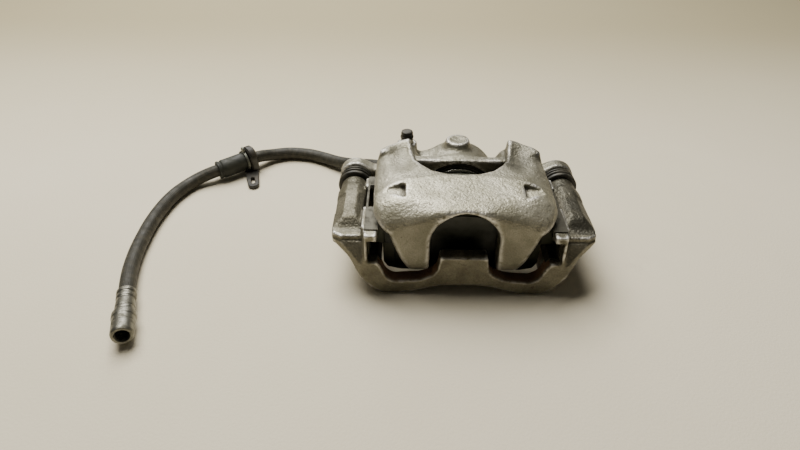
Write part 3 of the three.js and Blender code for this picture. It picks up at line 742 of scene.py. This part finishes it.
foot_outline = eased(np.vstack([[(4, -6)], arc(30, 0, 4.6, -90, 90, 10), [(4, 6)]]), 1.0, closed=True)
slot_outline = np.vstack([arc(28, 0, 1.4, -90, 90, 8), arc(21, 0, 1.4, 90, 270, 8)])
foot = holed_plate(
    "hose_bracket_foot", resampled(foot_outline, 96, (24.5, 0)), resampled(slot_outline, 96, (24.5, 0)),
    0.1, 3.0, lying_place, clip_paint, slot="black_plate",
)
grip_ring = carried(
    "sleeve_spring_ring",
    [(8.2, ring_start), (9.2, ring_start), (9.2, ring_end), (8.2, ring_end)],
    dull_spring, ring=True, soft=0.25, dense=0.8, stands_for=["hose_clip"], slot="zinc_steel",
)
(tab_at,), (tab_way,) = on_hose(np.array([(ring_start + ring_end) / 2]))
ring_tab = turned(
    "sleeve_ring_tab", [(0, -0.8), (2.5, -0.8), (2.5, 0.8), (0, 0.8)], tab_at + (0, 0, 11.0), tab_way, dull_spring,
    "housing", soft=0.3, around=28, slot="zinc_steel",
)

# %% [markdown]
# ## Fittings of the hose
# A ferrule is a steel sleeve squeezed on to the hose in two or three places, which leaves rings with waists between
# them. The end socket has a collar, a body with a groove and an open threaded mouth. At the housing, a hexagon screws
# into the port on a copper washer.

# %% Ferrules, socket and inlet
port, port_way = np.array([-22, 107, 20.0]), np.array([-0.84, 0.54, 0])
inlet_run = np.array(ROUTE[0]) - port
inlet_length = np.linalg.norm(inlet_run)
inlet_fitting = turned(
    "inlet_screw",
    [(0, -9, 0), (4.4, -9, 0), (4.4, 1.7, 0), (7.1, 1.8, 0), (7.9, 2.5, 1), (7.9, 9.8, 1), (7.1, 10.5, 0),
     (6.0, 10.6, 0), (0, 10.6, 0)],
    port, inlet_run, zinc, "housing", stands_for=["hose_inlet_fitting"], slot="zinc_steel",
)
inlet_ferrule = turned(
    "inlet_crimped_sleeve",
    [(0, 10.8), (6.4, 10.8), (6.5, 15), (5.9, 16.2), (5.9, 18.6), (6.5, 19.8), (6.5, 25), (5.9, 26.2), (5.9, 28.6),
     (6.5, 29.8), (6.5, inlet_length - 2), (5.8, inlet_length - 0.3), (0, inlet_length - 0.3)],
    port, inlet_run, zinc, "housing", stands_for=["hose_inlet_ferrule"], slot="zinc_steel",
)
tail = np.array(ROUTE[-1])
tail_way = tail - np.array(ROUTE[-2])
end_ferrule = turned(
    "end_crimped_sleeve",
    [(0, 0.3), (5.5, 0.3), (6.1, 1.3), (6.1, 3.6), (5.4, 4.6), (5.4, 5.6), (6.0, 6.4), (6.0, 8.8), (5.5, 9.6),
     (5.5, 10.4), (5.8, 11.4), (6.0, 17.5), (5.7, 18), (5.7, 18.6), (6.0, 19), (6.0, 21.4), (0, 21.4)],
    tail, tail_way, turned_zinc, "housing", stands_for=["hose_end_ferrule"], slot="zinc_steel",
)
threads = [(4.25 - 0.35 * (k % 2), 41.2 - 0.75 * k) for k in range(15)]
end_socket = turned(
    "end_threaded_socket",
    [(0, 21.8), (6.2, 21.8), (7.2, 23.2), (7.3, 27.0), (6.9, 27.8), (6.8, 31.5), (6.65, 31.9), (6.65, 32.5),
     (6.8, 32.9), (6.8, 40.2), (6.1, 41.9), (4.6, 41.9), *threads, (4.0, 29), (0, 29)],
    tail, tail_way, turned_zinc, "housing", soft=0.3, around=96, stands_for=["hose_end_socket"], slot="zinc_steel",
)

# %% [markdown]
# ## The housing
# The housing's bridge is one thick curved plate. It rolls down at the front into two fingers with a round-topped
# notch between them, and its two rear arms run back over a window to the body that holds the piston. All the
# outlines below are half outlines, mirrored about the middle, and X stands for the distance from the middle.

# %% Housing outlines
PIN_X, PIN_Z, PIN_BORE = 74, 37, 5.1
BORE_Z = 30.5
BLEED_X, BLEED_Y = -37, 97
TUNNEL_FRONT, TUNNEL_BACK = 18, 71
BRIDGE_PLAN = [
    (0, 0), (49, 0), (54.5, 6.5), (58.7, 17), (60, 27), (60, 60), (58.8, 70), (56.5, 76.5), (40, 87), (34, 90), (0, 90),
]
FINGER_FRONT = [
    (0, 14), (35, 14), (37, 17.5), (41, 25.5), (44.7, 35), (48.2, 44.8), (54, 48.8), (58, 50.5), (60.3, 54), (60.5, 80),
    (0, 80),
]
WINDOW = [(0, 43), (10, 44.2), (20, 48.6), (27, 56), (31, 63), (33, 75), (34, 95), (0, 95)]
BODY_SHOULDERS = [
    (0, 5), (18, 7), (28, 18), (31, 29), (45, 34), (56, 45), (59, 57), (56, 66), (50, 68.4), (34.5, 68.8), (33.5, 60),
    (0, 60),
]
BEHIND_FLANGE = [(0, 40), (25, 40), (27, 53), (33.5, 63), (33.5, 80), (0, 80)]
POCKET = [(37.7, 18), (51, 25.5), (48, 29.5), (37.7, 32)]


def shoulder_line(X):
    """How far back the bridge's thick front band reaches: a shallow parabola across it."""
    return 41 - 0.004 * X**2


def bridge_height(X, y):
    """Top of the bridge: it rises gently from front to back, falls away as (X - 38)^2 towards the sides, steps down
    0.7 mm behind a curved line, and rolls down at the front with the sine of a quarter turn over 16 mm."""
    back = np.interp(y, [0, 8, 20, 34, 60, 86, 95], [63.8, 64.3, 65, 66.5, 67.8, 69, 69])
    main = back - 0.0187 * np.clip(X - 38, 0, None) ** 2
    behind = y - shoulder_line(X)
    main = main - 0.7 * np.clip(behind / 5, 0, 1) ** 0.7 - 0.02 * np.clip(behind - 5, 0, 25)
    edge = 62.3 - 0.335 * np.clip(X - 13, 0, None)
    return edge + (main - edge) * np.sin(math.pi / 2 * np.clip((y - 3) / 16, 0, 1))


def lumps(x, y, z):
    """Slow waves in three directions, as a sand mould leaves."""
    return 0.07 * (np.sin(0.31 * x + 1) * np.sin(0.24 * y + 2) + np.sin(0.19 * y + 0.3 * z) * np.sin(0.21 * x + 4))


# %% Housing field
def housing_field(x, y, z):
    """Bridge and shoulders, opened by the tunnel, window and notch, joined to the barrel, ears and bosses."""
    X = np.abs(x)
    height = bridge_height(X, y)
    plan = outline_field(mirrored(BRIDGE_PLAN), X, y)
    front = 3 + 0.02 * np.clip(27 - z, 0, None) ** 2 - y
    bridge = common(4, plan, outline_field(mirrored(FINGER_FRONT), X, z), front, (z - height) * 0.93)
    bridge = trimmed(2, bridge, common(6, between(y, TUNNEL_FRONT, TUNNEL_BACK), z - 55))
    bridge = trimmed(2, bridge, common(1, TUNNEL_BACK - y, z - 45))
    shoulders = common(3, plan, outline_field(mirrored(BODY_SHOULDERS), X, z), between(y, TUNNEL_BACK, 88))
    above_flange = joined(0.5, 60 - z, common(0.5, y - TUNNEL_BACK, 45 - z))
    opening = common(1, outline_field(mirrored(WINDOW), X, y), above_flange)
    arms = trimmed(2.2, joined(3, bridge, shoulders), opening)
    arms = trimmed(2.5, arms, common(3, outline_field(mirrored(BEHIND_FLANGE), X, z), 79 - y))
    scoop = np.sqrt(((X - 42) / 13) ** 2 + ((y - 63) / 22) ** 2 + ((z - 74.5) / 11.5) ** 2)
    arms = trimmed(3, arms, (scoop - 1) * 10)
    arms = trimmed(2.4, arms, common(0.5, np.hypot(X, np.clip(z - 38.7, 0, None)) - 21.8, y - 20))
    pocket_floor = height - 4.2 * np.clip(1 - (X - 37.7) / 14.5, 0, 1) - 0.3
    arms = trimmed(0.6, arms, common(0.5, outline_field(np.array(POCKET), X, y), pocket_floor - z))

    barrel = common(7, np.hypot(x, z - BORE_Z) - 29.5, between(y, TUNNEL_BACK, 106))
    ear = rod(X - PIN_X, z - PIN_Z, 12.5, y, 84, 94, 1.5)
    web = common(2, between(X, 22, PIN_X), between(z, 29.5, 44.5), between(y, 84, 94))
    boss_radius = np.interp(z, [46, 52, 57, 60.5, 64.5], [12.5, 10.8, 8.4, 9.0, 8.6])
    boss = common(1.6, np.hypot(x, y - 95) - boss_radius, between(z, 40, 64.5))
    bleed_radius = np.interp(z, [36, 60.7], [8.6, 7.4])
    bleed = common(1, np.hypot(x - BLEED_X, y - BLEED_Y) - bleed_radius, between(z, 36, 60.7))
    bleed_web = common(3, between(x, -38, -16), between(y, 90, 102), between(z, 34, 52))
    px, py, pz = x - port[0], y - port[1], z - port[2]
    d = px * port_way[0] + py * port_way[1]
    off_axis = np.sqrt(np.clip(px**2 + py**2 + pz**2 - d**2, 0, None))
    port_boss = common(0.8, off_axis - 7.6, between(d, -18, 0))
    body = joined(4, arms, barrel, joined(4, ear, web), boss, joined(3, bleed, bleed_web), port_boss)
    dish = np.sqrt(x**2 + (y - 94.8) ** 2 + (z - 82) ** 2) - 18.2
    body = trimmed(0.8, body, dish) + lumps(x, y, z)
    for tool in (
        rod(x, z - BORE_Z, 27, y, 50, 74.5, 0.1),
        rod(x, z - BORE_Z, 24.35, y, 50, 99, 0.1),
        rod(X - PIN_X, z - PIN_Z, 4.3, y, 80, 99, 0.1),
        rod(x - BLEED_X, y - BLEED_Y, 4, z, 44, 72, 0.1),
        common(0.1, off_axis - 5, between(d, -11, 4)),
    ):
        body = trimmed(0.5, body, tool)
    return body


cast_step = 1.0
housing = casting(
    "housing_casting", housing_field, (-88.5, 1, 3), (88.5, 117, 71.5), cast_step,
    housing_paint, "housing", ["caliper_housing"], "silver_casting",
)

# %% [markdown]
# ## The bracket
# The bracket is a frame: a tie bar in front of the disc, a second one behind it, and two arms that join them. Each
# arm is a bar with a flat facet at its front and a round neck at its back that holds a guide pin. The slots that the
# pads' ears slide in are cut square through both frames.

# %% Bracket outlines
MOUNT_X, MOUNT_Z = 62, 11
OUTBOARD = [
    (0, 7.5), (13, 7), (27, 3.4), (40, 0), (52.5, 0), (60, 5.5), (67.5, 15), (74, 26.5), (84.5, 34.5), (84.5, 40),
    (65.5, 40), (65.5, 47), (55.3, 47), (55.3, 42.1), (61.3, 42.1), (61.3, 25.9), (55.5, 25.9), (53, 22.5),
    *arc(41.5, 20, 10, -12, -80, 8), (27.5, 11.7), (19.4, 15.7), (16.7, 19.6), (15, 30), (0, 30),
]
INBOARD = [
    (0, 0), (46, 0), (74, 0), (79.5, 5), (82, 30), (65.5, 34), (65.5, 47), (55.3, 47), (55.3, 42.1), (61.3, 42.1),
    (61.3, 25.9), (55.5, 25.9), (52, 19), (46, 13), (36, 11), (0, 11),
]
ARM_SECTION = [(64.5, 28), (69, 26.2), (79, 26.2), (84.8, 31), (84.4, 40.5), (78, 46.2), (70.5, 46.5), (65.5, 43)]


# %% Bracket field
def bracket_field(x, y, z):
    """Two frames, two arms, the mounting bosses and the necks of the pin bores."""
    X = np.abs(x)
    lean = (z - 24) * 0.66 * np.clip((X - 63) / 2.5, 0, 1)
    front = np.maximum(np.clip((X - 66) * 0.65, 0, None), np.minimum(lean, 8.4))
    front = front + 1.2 * np.clip((z - 36.2) / 0.6, 0, 1) * np.clip((X - 64) / 1.5, 0, 1)
    outboard = common(0.9, outline_field(mirrored(OUTBOARD), X, z), (front - y) * 0.8, y - 33)
    outboard = trimmed(2, outboard, common(1, X - 54, 11 - y))
    inboard = common(1.5, outline_field(mirrored(INBOARD), X, z), between(y, 57, 69))
    inboard = trimmed(1, inboard, rod(x, z - BORE_Z, 25, y, 50, 80, 0.1))
    facet = (z - (38.6 + (y - 15) * 0.8)) * 0.78
    arm = common(1.7, outline_field(np.array(ARM_SECTION), X, z), between(y, 14, 61), facet)
    neck = common(1.5, np.hypot(X - PIN_X, z - PIN_Z) - 9.7, between(y, 50, 72))
    lip = rod(X - PIN_X, z - PIN_Z, 8.3, y, 66, 76, 0.6)
    boss = rod(X - MOUNT_X, z - MOUNT_Z, 11, y, 57, 78, 1.2)
    body = joined(1.3, outboard, inboard, joined(3, arm, neck), boss)
    body = joined(0.8, body, lip) + lumps(x, y, z)
    mount_hole = rod(X - MOUNT_X, z - MOUNT_Z, 5.1, y, 50, 90, 0.1)
    pin_hole = rod(X - PIN_X, z - PIN_Z, PIN_BORE, y, 30, 90, 0.1)
    return trimmed(0.5, trimmed(0.5, body, mount_hole), pin_hole)


bracket = casting(
    "bracket_casting", bracket_field, (-87, -1.5, -1.5), (87, 80, 49), 0.8 * cast_step,
    bracket_paint, "bracket", ["anchor_bracket"], "bracket_casting",
)


def drawn_points(made):
    """Three rows of x, y and z in drawing millimetres, and how far each point's normal turns up."""
    return (read(made, "co") * 1000 - (0, BAR_FACE, 0)).T, read(made, "normal")[:, 2]


# %% [markdown]
# The paint isn't even. It is worn off the top of the tie bar and missing on the inner faces, so these are rusty.
# Painted light makes what faces up lighter, most of all on the front band of the bridge, and on the bracket only
# on its left half. Soot and painted shade darken the arms, mostly the right one, and the back of the housing.

# %% Rust, painted light, soot and painted shade
(bx, by, bz), bracket_up = drawn_points(bracket)
on_bar = (np.abs(bx) < 55) * np.clip(by / 3, 0, 1) * (by < 14) * np.clip(bracket_up * 3, 0, 1) * (bz < 27)
store(bracket, "bare", on_bar * 0.9 + (np.abs(bx) < 54) * (by > 11) * (by < 75) * (bz < 30) * 0.5)
# Painted light on the bracket: faces turned up, on its left half only.
store(bracket, "painted_light", 0.35 * np.clip(bracket_up, 0, 1) * (bx < 0))
# Soot and painted shade on the bracket's arms, about twice as dark on the right one.
store(bracket, "soot_and_shade", (by > 14) * np.where(bx > 0, 0.95, 0.45) * np.clip((np.abs(bx) - 64) / 5, 0, 1))
(hx, hy, hz), housing_up = drawn_points(housing)
store(housing, "bare", (hy > TUNNEL_FRONT) * (hy < TUNNEL_BACK) * (housing_up < -0.5) * 0.6)
band = 1 - np.clip((hy - shoulder_line(hx) + 1) / 2, 0, 1)
# Painted light on the housing: faces turned up above z = 40, most of all on the front band.
store(housing, "painted_light", np.clip((housing_up - 0.25) * 2.2, 0, 1) * (0.45 + 0.55 * band) * (hz > 40))
# Soot and painted shade on the housing: a patch in the right scoop and over the back, heavier to the right.
scoop_shade = 0.5 * np.exp(-(((hx - 37) / 11) ** 2) - ((hy - 60) / 13) ** 2)
back_shade_and_soot = 0.55 * np.clip((hy - 42) / 12, 0, 1) * np.clip((hx + 10) / 40, 0.25, 1)
store(housing, "soot_and_shade", (back_shade_and_soot + scoop_shade) * (1 - band))

# %% [markdown]
# ## Pads
# A pad is a stamped steel backing plate with the lining moulded to one face and a thin damping shim on the other. The
# plates' ears sit in the slots. The linings and clips keep the CAD shape, which is the real one, and get a finish.

# %% Backing plates and shims
PAD_Z = 32
PAD_TOP = [(52.2, 27.2), (59.9, 27.2), (59.9, 40.8), (52.6, 40.8), (47, 45), (28, 50), (0, 52)]
INNER_PAD = [(0, 13.5), (26, 14.5), (42, 18), (50.5, 22.5), *PAD_TOP]
OUTER_PAD = [(0, 4), (24, 4), (41, 4.4), (49, 6.5), (51.8, 11), *PAD_TOP]


def stamped(outline, wide=1.0, tall=1.0):
    """A half outline shrunk about the pad's middle height and mirrored, with its corners eased."""
    return eased(mirrored([(x * wide, PAD_Z + (z - PAD_Z) * tall) for x, z in outline]), 1.2, closed=True)


for side, outline, near, far, body in (
    ("outer", OUTER_PAD, 19.3, 24.3, "housing"),
    ("inner", INNER_PAD, 63.7, 68.7, "piston"),
):
    plate(
        f"{side}_plate", stamped(outline), near, far, pad_paint, body, edge=0.6,
        stands_for=[f"{side}_pad_backing_plate"], slot="black_plate",
    )


# %% Pressed shims
def pressed_shim(side, outline, near, far, body, bulge):
    """Rings of the outline shrink towards its middle, and each point stands out by the sum of round pressings
    h exp(-(distance / radius)^4), so the sheet has two round pads and a bar pressed into it."""
    rim = stamped(outline, 0.86, 0.9)
    middle = np.array([0, 31.0])
    rings = [(drawn_in(rim, 0.15), far), (rim, far - 0.15), (rim, near + 0.15), (drawn_in(rim, 0.15), near)]
    rings += [(middle + (rim - middle) * s, near) for s in np.linspace(0.97, 0, 40) ** 0.8]
    points = [facing_y(*(np.full(len(rim), v) for v in (*middle, far)))]
    for ring, depth in rings:
        across, up = ring.T
        dots = sum(np.exp(-((np.hypot(across - cx, up - 33) / 5.5) ** 4)) for cx in (-13, 13))
        bar = np.exp(-((across / 15) ** 6) - ((up - 21) / 1.6) ** 4)
        points.append(facing_y(across, up, depth + (depth == near) * bulge * (dots + bar)))
    faces = grid_faces(len(points), len(rim))
    return piece(
        f"{side}_shim", np.vstack(points), faces, shim_coat, body, [f"{side}_pad_shim"], "stainless_strip", sharp=50
    )


pressed_shim("outer", OUTER_PAD, 18.3, 19.0, "housing", 0.45)
pressed_shim("inner", INNER_PAD, 69.7, 69.0, "piston", -0.3)

# %% [markdown]
# ## Boots, pins and bolts
# The boots are soft and hold on at both ends, so each one rides on no body and stays where it is drawn. They have
# folds like a bellows, which take up the stroke.

# %% Guide pin boots and bolts
BOOT = [
    (8.65, 72.3), (11.5, 72.3), (12.3, 73.1), (12.3, 74.9), (10.5, 75.8), (10.5, 76.5), (12.2, 77.3), (12.2, 78.4),
    (10.3, 79.2), (10.3, 79.9), (11.8, 80.6), (11.8, 81.6), (9.7, 82.6), (9.4, 83.7), (7.2, 83.7), (7.2, 80.6),
    (5.4, 80.6), (5.4, 76.35), (8.65, 76.35),
]
BOLT = [
    (0, 68, 0), (3.5, 68, 0), (3.5, 94.35, 0), (8.3, 94.35, 0), (8.4, 95.5, 0), (7.0, 95.7, 0), (7.15, 95.9, 1),
    (7.15, 100.2, 1), (6.3, 101, 0), (3.5, 101, 0), (3.2, 100.6, 0), (0, 100.6, 0),
]
for hand, sign in (("left", -1), ("right", 1)):
    pin_line = (sign * PIN_X, 0, PIN_Z)
    boot = turned(
        f"pin_boot_{hand}", BOOT, pin_line, (0, 1, 0), boot_rubber, None, soft=0.6, ring=True,
        stands_for=[f"guide_pin_boot_{hand}"], slot="black_rubber",
    )
    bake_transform(boot)
    turned(
        f"pin_bolt_{hand}", BOLT, pin_line, (0, 1, 0), zinc, "housing",
        stands_for=[f"guide_pin_bolt_{hand}"], slot="zinc_steel",
    )

# %% Piston and its dust boot
turned(
    "turned_piston",
    [(0, 90), (15, 90), (18, 87), (18, 70), (23.3, 70), (23.4, 71.2), (22.8, 71.4), (22.8, 73.1), (24, 73.4),
     (24, 95.5), (22.6, 97), (0, 97)],
    (0, 0, BORE_Z), (0, 1, 0), chrome, "piston", around=128, stands_for=["piston"], slot="plated_piston",
)
dust_boot = turned(
    "folded_dust_boot",
    [(23.1, 71.5), (24.2, 71.5), (24.7, 71.9), (24.7, 72.9), (25.2, 73.3), (26.7, 73.3), (26.7, 74.3), (25.0, 74.3),
     (24.25, 73.9), (24.15, 72.5), (23.1, 72.4)],
    (0, 0, BORE_Z), (0, 1, 0), boot_rubber, None, soft=0.3, around=128, ring=True,
    stands_for=["piston_dust_boot"], slot="black_rubber",
)
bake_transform(dust_boot)

# %% [markdown]
# ## Bleed screw and port washer
# The bleed screw is a small hexagon with a nipple, closed by a rubber cap with ribs to pull it by.

# %% Bleed screw, cap and washer
screw_foot = (BLEED_X, BLEED_Y, 0)
turned(
    "bleed_nipple_screw",
    [(0, 45, 0), (3.5, 45, 0), (3.5, 60.95, 0), (4.8, 61, 0), (5.1, 61.4, 1), (5.1, 63.8, 1), (4.4, 64.2, 0),
     (2.8, 64.3, 0), (2.5, 66.5, 0), (2.9, 67.2, 0), (2.3, 68.2, 0), (0, 68.2, 0)],
    screw_foot, (0, 0, 1), zinc, "bleed_screw", stands_for=["bleed_screw"], slot="zinc_steel",
)
ribs = [(4.45 - 0.4 * (k % 2), 65.9 + 0.55 * k) for k in range(6)]
turned(
    "ribbed_bleed_cap",
    [(0, 68.6), (3.3, 68.6), (3.3, 64.5), (4.7, 64.5), (4.9, 65.4), *ribs, (4.1, 69.3), (3.2, 69.8), (0, 69.8)],
    screw_foot, (0, 0, 1), cap_rubber, "bleed_cap", soft=0.25, stands_for=["bleed_screw_cap"], slot="black_rubber",
)
turned(
    "copper_ring", [(4.95, 0.3), (7.4, 0.3), (7.4, 1.5), (4.95, 1.5)], port, inlet_run, copper, "housing",
    soft=0.2, ring=True, stands_for=["inlet_washer"], slot="copper",
)

# %% Finishes for the CAD nodes that stay
kept = {
    "guide_pin_left": zinc, "guide_pin_right": zinc, "guide_pin_damper_sleeve": boot_rubber, "piston_seal": boot_rubber,
    "pad_clip_left": stainless, "pad_clip_right": stainless, "outer_pad_lining": lining, "inner_pad_lining": lining,
    "inner_pad_spring": stainless,
}
for node, finish in kept.items():
    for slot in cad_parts[node].material_slots:
        slot.material = finish
print(len(kept), "CAD nodes keep their shape")

# %% [markdown]
# ## Floor and light
# The floor is a painted board with faint stains, and painted shade makes it darker towards the back. Two soft
# square lights hang above and behind, so that tops are bright, fronts are in their own shade and the shadow
# underneath is soft.


# %% Floor
def floor_paint():
    """Warm off-white with faint clouds and a few pale brown stains, mixed with a darker tone as Y grows: painted shade
    for light that falls off towards the back.
    """
    f = Finish("floor_paint")
    cloud, stain = f.noise(5, 5, 0.6), f.span(f.noise(11, 5, 0.7), 0.62, 0.8, 0, 0.18)
    base = f.mix(cloud, (0.80, 0.72, 0.54), (0.88, 0.81, 0.64))
    far = f.node("SeparateXYZ", {0: f.place}).outputs["Y"]
    # Painted shade: the floor darkens as Y grows.
    shaded = f.mix(f.span(far, 0.02, 0.56, 0, 0.85), f.mix(stain, base, (0.5, 0.45, 0.36)), (0.38, 0.33, 0.19))
    return f.done(Base_Color=shaded, Roughness=0.8, Specular_IOR_Level=0.15, Normal=f.bump(f.noise(600, 4), 0.0002))


x, y = np.meshgrid([-4.0, 4.0], [-3.0, 6.0])
board = bpy.data.meshes.new("floor")
board.from_pydata(np.c_[x.ravel(), y.ravel(), np.full(4, -0.0002)].tolist(), [], [(0, 1, 3, 2)])
board.materials.append(floor_paint())
floor = added("floor", board)


# %% Light
def area_light(name, power, size, at, towards, colour):
    """A square area light at one point, turned so that its -Z axis points at another."""
    lamp = bpy.data.lights.new(name, "AREA")
    lamp.energy, lamp.size, lamp.color = power, size, colour
    back, side, over = frame_of(np.subtract(at, towards))
    added(name, lamp).matrix_world = placed(side, over, back, at)


area_light("ceiling", 34, 1.0, (-0.38, 0.55, 1.25), (0, 0.05, 0), (1.0, 0.97, 0.9))
area_light("high_window", 10, 1.0, (-0.3, 1.5, 1.1), (0, 0.05, 0), (1.0, 0.98, 0.93))
world = bpy.data.worlds.new("room")
world.use_nodes = True
room_light = world.node_tree.nodes["Background"].inputs
room_light["Color"].default_value = (1.0, 0.97, 0.9, 1)
room_light["Strength"].default_value = 0.05
bpy.context.scene.world = world
